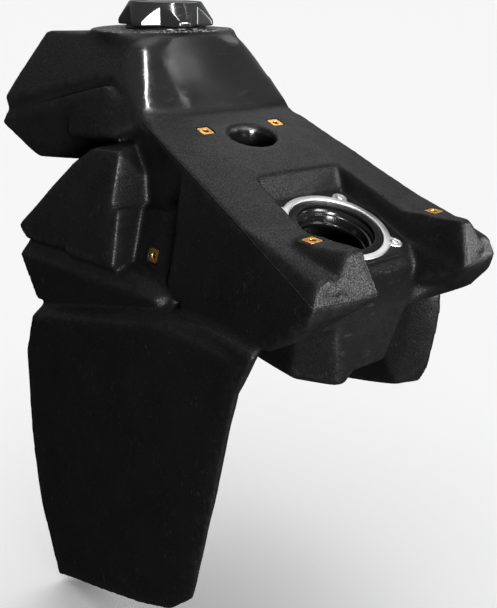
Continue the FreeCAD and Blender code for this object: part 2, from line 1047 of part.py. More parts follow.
RING_LOW = "Dimensions.ring_proud - Dimensions.ring_thick"
HEAD_LOW = "Dimensions.ring_proud - Dimensions.rivet_head_thick"
LUG_ARM = "Dimensions.lug_circle"
ring_pieces = [cylinder("RingDisc", "Dimensions.ring_outer", "Dimensions.ring_thick", RING_LOW)]
rivet_holes = []
for bearing in LUG_BEARINGS:
    tag = "Lug%d" % bearing
    ring_pieces.append(
        cylinder(tag, "Dimensions.lug_radius", "Dimensions.ring_thick", RING_LOW, LUG_ARM, bearing)
    )
    web = primitive(
        "Part::Box",
        tag + "Web",
        {
            "Length": LUG_ARM,
            "Width": "Dimensions.lug_web",
            "Height": "Dimensions.ring_thick",
            "Placement.Base.x": "Dimensions.lug_web / 2 * sin(%d deg)" % bearing,
            "Placement.Base.y": "-Dimensions.lug_web / 2 * cos(%d deg)" % bearing,
            "Placement.Base.z": RING_LOW,
        },
    )
    web.Placement.Rotation = Rotation(UP, bearing)
    ring_pieces.append(web)
    rivet_holes.append(
        cylinder(tag + "Hole", "Dimensions.rivet_radius", "20", "-10", LUG_ARM, bearing)
    )
    rivet_holes.append(
        cylinder(tag + "Sink", "Dimensions.rivet_head", "20", HEAD_LOW, LUG_ARM, bearing)
    )
ring_blank = doc.addObject("Part::MultiFuse", "RingBlank")
ring_blank.Shapes = ring_pieces
ring_opening = cylinder("RingOpening", "Dimensions.ring_inner", "20", "-10")
ring_cuts = doc.addObject("Part::MultiFuse", "RingCuts")
ring_cuts.Shapes = [ring_opening] + rivet_holes
pump_ring = combined("Part::Cut", "PumpRing", ring_blank, ring_cuts)
pump_ring.Placement = PUMP_PLACE
register(pump_ring, "pump_ring")

for number, bearing in enumerate(LUG_BEARINGS, start=1):
    tag = "Rivet%d" % number
    shank = cylinder(
        tag + "Shank",
        "Dimensions.rivet_radius",
        "Dimensions.rivet_length",
        "Dimensions.ring_proud - Dimensions.rivet_length",
        LUG_ARM,
        bearing,
    )
    head = cylinder(
        tag + "Head",
        "Dimensions.rivet_head",
        "Dimensions.rivet_head_thick",
        HEAD_LOW,
        LUG_ARM,
        bearing,
    )
    rivet = combined("Part::Fuse", tag, shank, head)
    rivet.Placement = PUMP_PLACE
    register(rivet, "pump_ring_rivet_%d" % number)

CHAMFER_SPAN = "(Dimensions.insert_head - Dimensions.insert_corner) * sqrt(2)"
for label, place in insert_places().items():
    tag = "".join(word.capitalize() for word in label.split("_"))
    low = "-Dimensions.insert_head_thick"
    square = primitive(
        "Part::Box",
        tag + "Square",
        {
            "Length": "Dimensions.insert_head",
            "Width": "Dimensions.insert_head",
            "Height": "Dimensions.insert_head_thick",
            "Placement.Base.x": "-Dimensions.insert_head / 2",
            "Placement.Base.y": "-Dimensions.insert_head / 2",
            "Placement.Base.z": low,
        },
    )
    diamond = primitive(
        "Part::Box",
        tag + "Diamond",
        {
            "Length": CHAMFER_SPAN,
            "Width": CHAMFER_SPAN,
            "Height": "Dimensions.insert_head_thick",
            "Placement.Base.y": "-%s * sqrt(2) / 2" % CHAMFER_SPAN,
            "Placement.Base.z": low,
        },
    )
    diamond.Placement.Rotation = Rotation(UP, 45)
    head = combined("Part::Common", tag + "Head", square, diamond)
    shank = cylinder(
        tag + "Shank", "Dimensions.insert_shank", "Dimensions.insert_length", "-Dimensions.insert_length"
    )
    blank = combined("Part::Fuse", tag + "Blank", head, shank)
    hole = cylinder(tag + "Hole", "Dimensions.insert_thread", "20", "-Dimensions.insert_length + 2")
    insert = combined("Part::Cut", tag, blank, hole)
    insert.Placement = place
    register(insert, label)

# ---------------------------------------------------------------------------------------------
# Checks and export
# ---------------------------------------------------------------------------------------------

doc.recompute()
for item in doc.Objects:
    if "Invalid" in item.State or "Error" in item.State:
        raise RuntimeError("failed object: " + item.Label)
for name, item in nodes.items():
    if item.Shape.isNull() or not item.Shape.isValid():
        raise RuntimeError("bad shape: " + name)
if len(fuel_shape.Solids) != 1:
    raise RuntimeError("the hollow is in %d parts" % len(fuel_shape.Solids))

os.makedirs("parts", exist_ok=True)
for name, item in nodes.items():
    item.Shape.exportStep("parts/%s.step" % name)
    print(name, len(item.Shape.Solids), round(item.Shape.Volume / 1000, 3), "ml")
print("fuel space", round(fuel_shape.Volume / 1e6, 2), "litres")
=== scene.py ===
"""Looks of a moulded motorcycle fuel tank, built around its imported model.

Shapes are worked out in millimetres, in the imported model's frame, and handed to Blender in metres.
"""

import copy
import json
import math

import bpy
import numpy as np
import openvdb as vdb
from mathutils import Matrix, Vector
from mathutils.bvhtree import BVHTree


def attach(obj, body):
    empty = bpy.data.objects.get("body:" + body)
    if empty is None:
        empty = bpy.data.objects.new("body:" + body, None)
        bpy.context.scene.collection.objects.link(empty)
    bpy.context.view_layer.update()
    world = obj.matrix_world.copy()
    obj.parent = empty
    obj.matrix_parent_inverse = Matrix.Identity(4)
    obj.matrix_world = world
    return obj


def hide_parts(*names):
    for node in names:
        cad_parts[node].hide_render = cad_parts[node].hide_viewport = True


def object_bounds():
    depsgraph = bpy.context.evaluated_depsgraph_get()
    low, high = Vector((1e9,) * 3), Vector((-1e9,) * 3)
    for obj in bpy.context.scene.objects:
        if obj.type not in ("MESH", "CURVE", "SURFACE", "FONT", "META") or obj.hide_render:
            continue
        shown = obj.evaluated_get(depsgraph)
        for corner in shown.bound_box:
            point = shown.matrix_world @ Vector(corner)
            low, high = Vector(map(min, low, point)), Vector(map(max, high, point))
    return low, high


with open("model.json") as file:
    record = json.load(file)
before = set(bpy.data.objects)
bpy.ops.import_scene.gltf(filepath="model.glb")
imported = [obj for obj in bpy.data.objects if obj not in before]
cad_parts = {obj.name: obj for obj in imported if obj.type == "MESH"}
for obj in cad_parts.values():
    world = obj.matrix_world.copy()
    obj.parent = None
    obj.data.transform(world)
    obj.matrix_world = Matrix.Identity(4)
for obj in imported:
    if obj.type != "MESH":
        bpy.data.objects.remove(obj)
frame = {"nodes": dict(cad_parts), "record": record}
cad_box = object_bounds()

MM = 0.001
SCENE = bpy.context.scene
MOUNTS = {mount["name"]: mount for mount in frame["record"]["mounts"]}


# ---------------------------------------------------------------------------------------------
# Camera, floor and lights
# ---------------------------------------------------------------------------------------------

CAMERA_PLACE = Vector((-408.4, -634.7, 46.9)) * MM
CAMERA_YAW = 38.73
CAMERA_PITCH = 22.51
CAMERA_ROLL = 1.15
CAMERA_LENS = 47.22
FLOOR_GAP = 6 * MM
FLOOR_REACH = 40.0
MIDDLE = Vector((0, -0.13, -0.15))
LIGHT_DISTANCE = 1.6
STREAK_ALONG = (-0.58, -0.73, -0.29)


def make_camera():
    """The camera: behind the tank and to its left, looking forwards and down."""
    yaw = math.radians(CAMERA_YAW)
    pitch = math.radians(CAMERA_PITCH)
    roll = math.radians(CAMERA_ROLL)
    ahead = Vector((math.sin(yaw) * math.cos(pitch), math.cos(yaw) * math.cos(pitch), -math.sin(pitch)))
    level = Vector((math.cos(yaw), -math.sin(yaw), 0))
    above = level.cross(ahead)
    right = level * math.cos(roll) + above * math.sin(roll)
    up = above * math.cos(roll) - level * math.sin(roll)
    data = bpy.data.cameras.new("camera")
    data.lens = CAMERA_LENS
    data.sensor_width = 36
    camera = bpy.data.objects.new("camera", data)
    turn = Matrix((right, up, -ahead)).transposed().to_4x4()
    camera.matrix_world = Matrix.Translation(CAMERA_PLACE) @ turn
    SCENE.collection.objects.link(camera)
    SCENE.camera = camera


def facing(direction, along=(0, 0, 1)):
    """The rotation of a light that shines against a direction, its height along another one."""
    back = Vector(direction).normalized()
    across = Vector(along).cross(back).normalized()
    return Matrix((across, back.cross(across), back)).transposed().to_euler()


def softbox(name, direction, width, height, power, floor, along=(0, 0, 1)):
    """A soft light of so many metres and watts that faces the tank and leaves the floor out."""
    data = bpy.data.lights.new(name, "AREA")
    data.shape = "RECTANGLE"
    data.size = width
    data.size_y = height
    data.energy = power
    light = bpy.data.objects.new(name, data)
    light.location = MIDDLE + Vector(direction).normalized() * LIGHT_DISTANCE
    light.rotation_euler = facing(direction, along)
    SCENE.collection.objects.link(light)
    only_for(light, floor, "EXCLUDE")


def only_for(light, item, state):
    """Keep a light to one object, or keep it off that object."""
    receivers = bpy.data.collections.new(light.name + "_receivers")
    receivers.objects.link(item)
    receivers.collection_objects[0].light_linking.link_state = state
    light.light_linking.receiver_collection = receivers


def wide_sun(name, direction, strength, spread):
    """An even light from a wide patch of sky."""
    data = bpy.data.lights.new(name, "SUN")
    data.energy = strength
    data.angle = math.radians(spread)
    light = bpy.data.objects.new(name, data)
    light.rotation_euler = facing(direction)
    SCENE.collection.objects.link(light)
    return light


def studio_sky():
    """An even grey room, bright above the horizon and dim below it."""
    world = bpy.data.worlds.new("studio")
    world.use_nodes = True
    tree = world.node_tree
    sky = tree.nodes["Background"]
    sky.inputs["Color"].default_value = (1, 1, 1, 1)
    place = tree.nodes.new("ShaderNodeTexCoord")
    split = tree.nodes.new("ShaderNodeSeparateXYZ")
    strength = tree.nodes.new("ShaderNodeMapRange")
    for name, value in {"From Min": -0.25, "From Max": 0.2, "To Min": 0.02, "To Max": 0.27}.items():
        strength.inputs[name].default_value = value
    tree.links.new(place.outputs["Generated"], split.inputs["Vector"])
    tree.links.new(split.outputs["Z"], strength.inputs["Value"])
    tree.links.new(strength.outputs["Result"], sky.inputs["Strength"])
    return world


def make_stage():
    """A pale seamless floor, an even room, a soft sun from above and softboxes round the tank's rear."""
    low = cad_box[0][2] - FLOOR_GAP
    mesh = bpy.data.meshes.new("floor")
    corners = []
    for x, y in ((-1, -1), (1, -1), (1, 1), (-1, 1)):
        corners.append((x * FLOOR_REACH, y * FLOOR_REACH, low))
    mesh.from_pydata(corners, [], [(0, 1, 2, 3)])
    floor = bpy.data.objects.new("floor", mesh)
    SCENE.collection.objects.link(floor)
    paint = bpy.data.materials.new("floor_paint")
    paint.use_nodes = True
    shader = paint.node_tree.nodes["Principled BSDF"]
    shader.inputs["Base Color"].default_value = (0.93, 0.93, 0.93, 1)
    shader.inputs["Roughness"].default_value = 0.9
    shader.inputs["Specular IOR Level"].default_value = 0.1
    mesh.materials.append(paint)
    floor.visible_diffuse = False
    floor.visible_glossy = False
    SCENE.world = studio_sky()
    wide_sun("roof", (0.38, 0.42, 0.83), 1.1, 60)
    only_for(wide_sun("sweep", (0, 0, 1), 1.4, 90), floor, "INCLUDE")
    softbox("rear", (0.2, -0.95, 0.25), 0.6, 0.4, 38, floor)
    softbox("rear_left", (-0.38, -0.91, -0.02), 0.4, 0.7, 70, floor)
    softbox("rear_high", (0.61, -0.31, 0.77), 0.14, 0.10, 0.12, floor)
    softbox("right", (0.86, -0.5, 0.08), 0.5, 0.5, 14, floor)
    softbox("streak_left", (-0.02, -0.36, 0.93), 0.05, 0.9, 16, floor, STREAK_ALONG)
    softbox("streak_right", (0.47, -0.26, 0.88), 0.02, 0.3, 0.25, floor, STREAK_ALONG)
    SCENE.view_settings.view_transform = "Standard"


make_camera()
make_stage()


# ---------------------------------------------------------------------------------------------
# Distance fields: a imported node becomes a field, its edges are rounded by blurring the field,
# and a fresh mesh is drawn from it
# ---------------------------------------------------------------------------------------------

# Voxels on each side of a surface that a field keeps, and a blur's reach in spreads.
BAND = 7
BLUR_REACH = 2.6


def node_mesh(name):
    """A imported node's corners in millimetres and its triangles."""
    mesh = frame["nodes"][name].data
    mesh.calc_loop_triangles()
    points = np.empty(len(mesh.vertices) * 3)
    mesh.vertices.foreach_get("co", points)
    triangles = np.empty(len(mesh.loop_triangles) * 3, np.int64)
    mesh.loop_triangles.foreach_get("vertices", triangles)
    return points.reshape(-1, 3) / MM, triangles.reshape(-1, 3)


class Field:
    """A signed distance to a surface on a regular grid, in millimetres, negative inside."""

    def __init__(self, points, triangles, voxel):
        self.voxel = voxel
        self.low = np.floor(points.min(0) / voxel).astype(int) - BAND - 1
        high = np.ceil(points.max(0) / voxel).astype(int) + BAND + 1
        self.values = np.empty(high - self.low + 1, np.float32)
        grid = vdb.FloatGrid.createLevelSetFromPolygons(
            points.astype(np.float32),
            triangles.astype(np.uint32),
            None,
            vdb.createLinearTransform(voxel),
            BAND,
        )
        grid.copyToArray(self.values, tuple(int(v) for v in self.low))

    def holding(self, values):
        """The same grid with other values in it."""
        other = copy.copy(self)
        other.values = values
        return other

    def axes(self):
        """Millimetre coordinates along the three sides of the grid, shaped to broadcast."""
        spans = [(np.arange(n) + low) * self.voxel for n, low in zip(self.values.shape, self.low)]
        return np.meshgrid(*spans, indexing="ij", sparse=True)

    def blurred(self, sigma):
        """The values after a Gaussian blur, which rounds every edge and corner."""
        spread = sigma / self.voxel
        reach = max(1, math.ceil(BLUR_REACH * spread))
        weights = np.exp(-0.5 * (np.arange(-reach, reach + 1) / spread) ** 2)
        weights = (weights / weights.sum()).astype(np.float32)
        values = self.values
        for axis in range(3):
            margins = [(reach, reach) if side == axis else (0, 0) for side in range(3)]
            padded = np.pad(values, margins, mode="edge")
            count = values.shape[axis]
            total = np.zeros_like(values)
            for shift, weight in enumerate(weights):
                window = [slice(None)] * 3
                window[axis] = slice(shift, shift + count)
                total += weight * padded[tuple(window)]
            values = total
        return values

    def surface(self, level=0.0, adaptivity=0.0):
        """Corners and faces of the surface at a level."""
        grid = vdb.FloatGrid(BAND * self.voxel)
        grid.transform = vdb.createLinearTransform(self.voxel)
        grid.copyFromArray(self.values, tuple(int(v) for v in self.low))
        points, triangles, quads = grid.convertToPolygons(level, adaptivity)
        faces = [tuple(face) for face in triangles.tolist() + quads.tolist()]
        return points.astype(float), faces

    def sampled(self, points):
        """Trilinear values at points."""
        spot = points / self.voxel - self.low
        base = np.clip(np.floor(spot).astype(int), 0, np.array(self.values.shape) - 2)
        part = spot - base
        total = np.zeros(len(points))
        for corner in np.ndindex(2, 2, 2):
            share = np.prod(np.where(corner, part, 1 - part), axis=1)
            i, j, k = (base + corner).T
            total += share * self.values[i, j, k]
        return total

    def normals(self, points):
        """Unit directions of steepest increase at points."""
        step = 0.75 * self.voxel
        sides = []
        for axis in range(3):
            shift = np.zeros(3)
            shift[axis] = step
            sides.append(self.sampled(points + shift) - self.sampled(points - shift))
        slope = np.stack(sides, 1)
        return slope / np.maximum(np.linalg.norm(slope, axis=1, keepdims=True), 1e-9)


# ---------------------------------------------------------------------------------------------
# Meshes
# ---------------------------------------------------------------------------------------------

# Cosine between a face and the field's direction below which the face counts as cut.
CUT_COSINE = 0.7


def mesh_object(name, points, faces):
    """A new smooth-shaded object from millimetre points."""
    mesh = bpy.data.meshes.new(name)
    mesh.from_pydata((np.asarray(points) * MM).tolist(), [], faces)
    mesh.update()
    mesh.shade_smooth()
    item = bpy.data.objects.new(name, mesh)
    SCENE.collection.objects.link(item)
    return item


def outward(points, faces):
    """The faces of a closed mesh, turned over if they point inwards."""
    first = np.array([face[:3] for face in faces])
    a, b, c = points[first[:, 0]], points[first[:, 1]], points[first[:, 2]]
    if np.einsum("ij,ij->i", a, np.cross(b, c)).sum() < 0:
        faces = [face[::-1] for face in faces]
    return faces


def joined(parts):
    """Several meshes, each of points and faces, as one."""
    points = []
    faces = []
    count = 0
    for part_points, part_faces in parts:
        points.append(np.asarray(part_points, float))
        faces.extend([tuple(index + count for index in face) for face in part_faces])
        count += len(part_points)
    return np.concatenate(points), faces


def stacked_rings(matrix, rings, closed):
    """Rings of equally many points joined one to the next, capped at both ends or closed in a loop."""
    count = len(rings[0])
    points = np.array([matrix @ Vector(point) for ring in rings for point in ring])
    faces = []
    for level in range(len(rings) if closed else len(rings) - 1):
        low = level * count
        high = (level + 1) % len(rings) * count
        for k in range(count):
            after = (k + 1) % count
            faces.append((low + k, low + after, high + after, high + k))
    if not closed:
        top = (len(rings) - 1) * count
        faces.append(tuple(range(count))[::-1])
        faces.append(tuple(range(top, top + count)))
    return points, outward(points, faces)


def circle(radius, height, count):
    """Evenly spaced points around the local +Z."""
    turns = [2 * math.pi * k / count for k in range(count)]
    return [(radius * math.cos(t), radius * math.sin(t), height) for t in turns]


def lathed(matrix, profile, count=144, closed=True):
    """A profile of (radius, height) points turned about the local +Z."""
    return stacked_rings(matrix, [circle(radius, height, count) for radius, height in profile], closed)


def carved(item, cutter):
    """Cut one object out of another."""
    modifier = item.modifiers.new("carve", "BOOLEAN")
    modifier.operation = "DIFFERENCE"
    modifier.solver = "EXACT"
    modifier.object = cutter
    graph = bpy.context.evaluated_depsgraph_get()
    mesh = bpy.data.meshes.new_from_object(item.evaluated_get(graph))
    item.modifiers.clear()
    item.data = mesh
    bpy.data.objects.remove(cutter)


def mesh_arrays(mesh):
    """Corner points in millimetres, and each face corner's point and face."""
    points = np.empty(len(mesh.vertices) * 3)
    mesh.vertices.foreach_get("co", points)
    corners = np.empty(len(mesh.loops), np.int64)
    mesh.loops.foreach_get("vertex_index", corners)
    sizes = np.empty(len(mesh.polygons), np.int64)
    mesh.polygons.foreach_get("loop_total", sizes)
    return points.reshape(-1, 3) / MM, corners, np.repeat(np.arange(len(sizes)), sizes)


def shade_by_field(item, normals_at):
    """Shade by the directions a field gives, except on faces that were cut across it."""
    mesh = item.data
    points, corners, owners = mesh_arrays(mesh)
    flat = np.empty(len(mesh.polygons) * 3)
    mesh.polygons.foreach_get("normal", flat)
    flat = flat.reshape(-1, 3)[owners]
    smooth = normals_at(points)[corners]
    across = (smooth * flat).sum(1)
    smooth[across < -CUT_COSINE] *= -1
    cut = np.abs(across) < CUT_COSINE
    smooth[cut] = flat[cut]
    mesh.normals_split_custom_set(smooth.tolist())


# ---------------------------------------------------------------------------------------------
# Materials
# ---------------------------------------------------------------------------------------------


class Paint:
    """A node material, built up from layers placed by the object's own coordinates."""

    def __init__(self, name, metallic=0.0, specular=0.5):
        self.material = bpy.data.materials.new(name)
        self.material.use_nodes = True
        self.tree = self.material.node_tree
        self.shader = self.tree.nodes["Principled BSDF"]
        self.shader.inputs["Metallic"].default_value = metallic
        self.shader.inputs["Specular IOR Level"].default_value = specular
        self.place = self.add("ShaderNodeTexCoord", output="Object")

    def add(self, kind, inputs=(), output=0, **settings):
        """A node with its inputs set or linked; gives one of its outputs."""
        node = self.tree.nodes.new(kind)
        for key, value in settings.items():
            setattr(node, key, value)
        for key, value in dict(inputs).items():
            if isinstance(value, bpy.types.NodeSocket):
                self.tree.links.new(value, node.inputs[key])
            else:
                node.inputs[key].default_value = value
        return node.outputs[output]

    def noise(self, scale, detail=2.0, stretch=(1, 1, 1), turn=(0, 0, 0)):
        """Cloudy noise of so many waves to the metre, about one half on average."""
        place = self.place
        if stretch != (1, 1, 1):
            place = self.add("ShaderNodeMapping", {"Vector": place, "Scale": stretch, "Rotation": turn})
        return self.add("ShaderNodeTexNoise", {"Vector": place, "Scale": scale, "Detail": detail})

    def spread(self, value, low, high, to_low=0.0, to_high=1.0):
        """A value's range stretched to another one and cut off there."""
        ends = {"From Min": low, "From Max": high, "To Min": to_low, "To Max": to_high}
        return self.add("ShaderNodeMapRange", {"Value": value, **ends})

    def times(self, first, second):
        """Two values multiplied."""
        return self.add("ShaderNodeMath", {0: first, 1: second}, operation="MULTIPLY")

    def plus(self, first, second):
        """Two values added, at most one."""
        return self.add("ShaderNodeMath", {0: first, 1: second}, operation="ADD", use_clamp=True)

    def blend(self, share, first, second):
        """One colour turning into another."""
        return self.add("ShaderNodeMixRGB", {"Fac": share, "Color1": first, "Color2": second})

    def attribute(self, name):
        """A value stored at the mesh's points."""
        return self.add("ShaderNodeAttribute", output="Fac", attribute_name=name)

    def zone(self, planes):
        """One inside a convex zone of (point, inward direction, softness) planes in millimetres."""
        total = None
        for point, inward, soft in planes:
            inward = Vector(inward).normalized()
            along = self.add(
                "ShaderNodeVectorMath",
                {0: self.place, 1: tuple(inward)},
                output="Value",
                operation="DOT_PRODUCT",
            )
            start = inward.dot(Vector(point)) * MM
            part = self.spread(along, start, start + soft * MM)
            total = part if total is None else self.times(total, part)
        return total

    def dent(self, height, depth, strength=1.0):
        """A bump layer, its depth in millimetres, on top of the ones before."""
        inputs = {"Height": height, "Distance": depth * MM, "Strength": strength}
        links = self.shader.inputs["Normal"].links
        if links:
            inputs["Normal"] = links[0].from_socket
        self.link("Normal", self.add("ShaderNodeBump", inputs))

    def link(self, name, value):
        """Drive one of the shader's inputs."""
        self.tree.links.new(value, self.shader.inputs[name])

    def finish(self, color, roughness):
        """Link colour and roughness to the shader; gives the material."""
        self.link("Base Color", color)
        self.link("Roughness", roughness)
        return self.material


def grey(value, tint=0.0):
    """A grey, slightly cool when the tint is positive."""
    return (value * (1 - tint), value, value * (1 + tint), 1)


DECK_NORMAL = Vector((0, -0.2985, 0.9544))
DECK_POINT = Vector((0, -112, -69.7))
DECK_MARGIN = Vector((0, 0, 2))
# Planes of (point, inward direction, softness) round the polished parts and the pad's top.
DOME_REAR = [
    (DECK_POINT + DECK_MARGIN, DECK_NORMAL, 4),
    ((0, -34, 0), (0, -1, 0), 8),
    ((0, -90, 0), (0, 1, 0), 3),
    ((-68, -30, -15), (1, -0.35, 0.1), 8),
    ((0, 0, -2.5), (0, 0, -1), 2),
]
OVAL_PASSAGE = [
    (DECK_POINT - DECK_MARGIN, -DECK_NORMAL, 3),
    ((-25, 0, 0), (1, 0, 0), 1),
    ((23, 0, 0), (-1, 0, 0), 1),
    ((0, -149, 0), (0, 1, 0), 1),
    ((0, -105, 0), (0, -1, 0), 1),
]
PAD_TOP = [((0, 0, -0.9), (0, 0, 1), 0.5)]


def tank_plastic():
    """Black moulded polyethylene: orange-peel grain, mottling, edges painted lighter as partly wear and
    partly a painted highlight, a polished rear dome.
    """
    paint = Paint("tank_plastic")
    glossy = paint.plus(paint.zone(DOME_REAR), paint.zone(OVAL_PASSAGE))
    matte = paint.spread(glossy, 0.0, 1.0, 1.0, 0.12)
    pad_top = paint.zone(PAD_TOP)
    mottling = paint.spread(paint.noise(32, 5), 0.3, 0.7)
    # Convex edges painted lighter: partly wear, partly a painted highlight.
    worn_and_highlight = paint.times(paint.attribute("wear_and_highlight"), paint.spread(paint.noise(170, 4), 0.36, 0.66))
    specks = paint.spread(paint.noise(720, 3), 0.72, 0.78)
    scuff_clouds = paint.spread(paint.noise(45, 3), 0.5, 0.62)
    scratches = paint.spread(paint.noise(60, 3, (1, 9, 3), (0.3, 0.2, 0.5)), 0.62, 0.7)
    scuffs = paint.times(paint.times(scratches, scuff_clouds), 0.6)
    trim_grain = paint.spread(paint.noise(560, 5), 0.47, 0.6)
    color = paint.blend(mottling, grey(0.0028, 0.02), grey(0.0036, 0.01))
    color = paint.blend(paint.times(scuffs, 0.4), color, grey(0.03))
    # Painted lighter on convex edges, partly wear and partly a painted highlight.
    color = paint.blend(paint.times(worn_and_highlight, 0.08), color, grey(0.03))
    color = paint.blend(paint.times(specks, 0.4), color, grey(0.10))
    color = paint.blend(paint.times(trim_grain, pad_top), color, grey(0.22))
    roughness = paint.spread(paint.noise(60, 4), 0.3, 0.7, 0.34, 0.43)
    hairs = paint.spread(paint.noise(420, 4, (1, 5, 3), (0.2, 0.1, 0.4)), 0.45, 0.7, 0.0, 0.09)
    hazed = paint.plus(paint.spread(paint.noise(25, 4), 0.35, 0.65, 0.1, 0.16), hairs)
    roughness = paint.blend(glossy, roughness, hazed)
    roughness = paint.plus(roughness, paint.times(scuffs, 0.1))
    grain = paint.spread(paint.noise(850, 3), 0.38, 0.62, 0.05, 0.17)
    paint.link("Specular IOR Level", paint.blend(glossy, grain, grey(0.6)))
    paint.dent(paint.noise(9, 2), 3.0, paint.spread(glossy, 0.0, 1.0, 0.25, 0.1))
    paint.dent(paint.noise(110, 3), 0.2, paint.times(matte, 0.5))
    paint.dent(paint.noise(750, 3), 0.26, matte)
    paint.dent(paint.noise(2100, 2), 0.05, matte)
    paint.dent(trim_grain, 0.7, pad_top)
    paint.dent(scratches, 0.03, 0.8)
    return paint.finish(color, roughness)


def gloss_plastic(name, tone, low, high, specular):
    """Injection-moulded plastic with a polish, fine hairlines and a little haze."""
    paint = Paint(name, specular=specular)
    haze = paint.noise(38, 4)
    hairlines = paint.spread(paint.noise(140, 3, (1, 8, 1), (0.4, 0.1, 0.9)), 0.6, 0.68)
    specks = paint.spread(paint.noise(900, 2), 0.72, 0.78)
    color = paint.blend(haze, grey(tone), grey(tone * 1.8, 0.02))
    color = paint.blend(paint.times(specks, 0.35), color, grey(0.12))
    roughness = paint.spread(haze, 0.3, 0.7, low, high)
    roughness = paint.plus(roughness, paint.times(hairlines, 0.15))
    paint.dent(paint.noise(70, 2), 0.12, 0.35)
    paint.dent(hairlines, 0.015, 0.6)
    return paint.finish(color, roughness)


def soft_rubber():
    """Matte black rubber with a dusty bloom."""
    paint = Paint("soft_rubber", specular=0.3)
    bloom = paint.spread(paint.noise(90, 5), 0.4, 0.65)
    color = paint.blend(bloom, grey(0.008), grey(0.02))
    roughness = paint.spread(bloom, 0.0, 1.0, 0.55, 0.72)
    paint.dent(paint.noise(1200, 3), 0.08, 0.8)
    return paint.finish(color, roughness)


def cast_aluminium():
    """Bright aluminium with a tumbled grain, small pits and duller patches."""
    paint = Paint("cast_aluminium", metallic=1.0)
    patches = paint.spread(paint.noise(70, 4), 0.35, 0.65)
    pits = paint.spread(paint.noise(900, 2), 0.66, 0.74)
    color = paint.blend(patches, grey(0.50, 0.01), grey(0.62, 0.0))
    color = paint.blend(paint.times(pits, 0.7), color, grey(0.22))
    roughness = paint.spread(patches, 0.0, 1.0, 0.5, 0.38)
    paint.dent(paint.noise(480, 4), 0.12, 0.8)
    paint.dent(pits, 0.08, 0.6)
    return paint.finish(color, roughness)


def turned_brass():
    """Yellow brass with tarnish in patches."""
    paint = Paint("turned_brass", metallic=1.0)
    tarnish = paint.spread(paint.noise(260, 4), 0.42, 0.66)
    color = paint.blend(tarnish, (0.8, 0.45, 0.10, 1), (0.38, 0.18, 0.04, 1))
    roughness = paint.spread(tarnish, 0.0, 1.0, 0.26, 0.42)
    paint.dent(paint.noise(420, 3), 0.35, 0.7)
    return paint.finish(color, roughness)


PAINTS = {
    "moulded_black": tank_plastic(),
    "neck_black": gloss_plastic("neck_plastic", 0.003, 0.12, 0.2, 0.25),
    "cap_black": gloss_plastic("cap_plastic", 0.006, 0.1, 0.18, 0.5),
    "rubber": soft_rubber(),
    "aluminium": cast_aluminium(),
    "brass": turned_brass(),
}


def put_on(item, body, slot, *nodes):
    """Paint a finished piece and fix it to a body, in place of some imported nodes."""
    item.data.materials.clear()
    item.data.materials.append(PAINTS[slot])
    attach(item, body)
    if nodes:
        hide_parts(*nodes)


# ---------------------------------------------------------------------------------------------
# Tank skin
# ---------------------------------------------------------------------------------------------

TANK_VOXEL = 2.0
WALL = 5.5
EDGE_BLUR = 1.6
SKIN_GROWTH = 0.5
SKIN_MERGE = 0.006
LINING_MERGE = 0.05
# How convex the skin must be to be painted lighter at its edges, partly as wear and partly as a painted
# highlight.
WEAR_HIGHLIGHT_BLUR = 4.0
WEAR_HIGHLIGHT_START = 0.15
WEAR_HIGHLIGHT_SPAN = 0.55
# Where the openings' own frames stand above their mounts, and the discs that close them for a while.
PUMP_RISE = 4.0
THREAD_RISE = 5.5
FILLER_PLUG = 34
PUMP_PLUG = 54
THREAD_PLUG = 9.5
PLUG_CORNERS = 24
# Radii, heights and clearance of what is cut out of the skin.
FILLER_CUT = 27.8
RIM_OUTER = 36.1
RIM_LOW = -16
RIM_COUNT = 192
RING_SEAT = -3.0
RING_GAP = 0.5
ABOVE_RING = 12
POCKET = (6.15, 1.6)
POCKET_MOUTH = (6.9, 2.2)
# Rays sent from each face to see whether it lies outside.
RAY_COUNT = 90
RAY_START = 0.02
RAY_LENGTH = 3000
GRAZING = 0.08
# Slow waves in the moulding's surface.
WAVE_COUNT = 18
WAVE_SHORTEST = 45
WAVE_SPREAD = 70
WAVE_HEIGHT = 0.11
# A soft edge's share is gone at this many reaches; its hold is how far it outweighs the crisp field.
SOFT_FADE = 1.6
SOFT_HOLD = 8
# Edges that fade into a wide round: start, end, reach and blur.
SOFT_EDGES = [
    ((-52, -41, -7), (-61, -55, -26), 22, 11.0),
    ((-61, -55, -26), (-69, -69, -44), 19, 7.0),
    ((-69, -69, -44), (-77, -83, -62), 13, 4.0),
]


def mount_frame(name, rise=0.0):
    """A matrix in millimetres whose +Z is a mount's axis, moved along that axis."""
    mount = MOUNTS[name]
    axis = Vector(mount["axis"])
    place = Vector(mount["pos_m"]) / MM + axis * rise
    return Matrix.Translation(place) @ axis.to_track_quat("Z", "Y").to_matrix().to_4x4()


def pump_frame():
    """The pump opening's own frame: +Z out of the tank, +X to the right."""
    mount = MOUNTS["pump_bore"]
    out = Vector(mount["axis"])
    place = Vector(mount["pos_m"]) / MM + out * PUMP_RISE
    right = Vector((1, 0, 0))
    return Matrix.Translation(place) @ Matrix((right, out.cross(right), out)).transposed().to_4x4()


def thread_names():
    """The mounts of the threaded inserts."""
    return [name for name in MOUNTS if name.startswith("thread_")]


def plug(matrix, radius):
    """A flat disc that closes an opening."""
    rim = [matrix @ Vector(point) for point in circle(radius, 0, PLUG_CORNERS)]
    points = np.array([matrix.translation] + rim)
    return points, [(0, k + 1, (k + 1) % PLUG_CORNERS + 1) for k in range(PLUG_CORNERS)]


def tank_plugs():
    """Discs over the filler bore, the pump opening and the insert pockets."""
    plugs = [plug(Matrix.Translation((0, 0, -0.01)), FILLER_PLUG), plug(pump_frame(), PUMP_PLUG)]
    for name in thread_names():
        plugs.append(plug(mount_frame(name, THREAD_RISE), THREAD_PLUG))
    return plugs


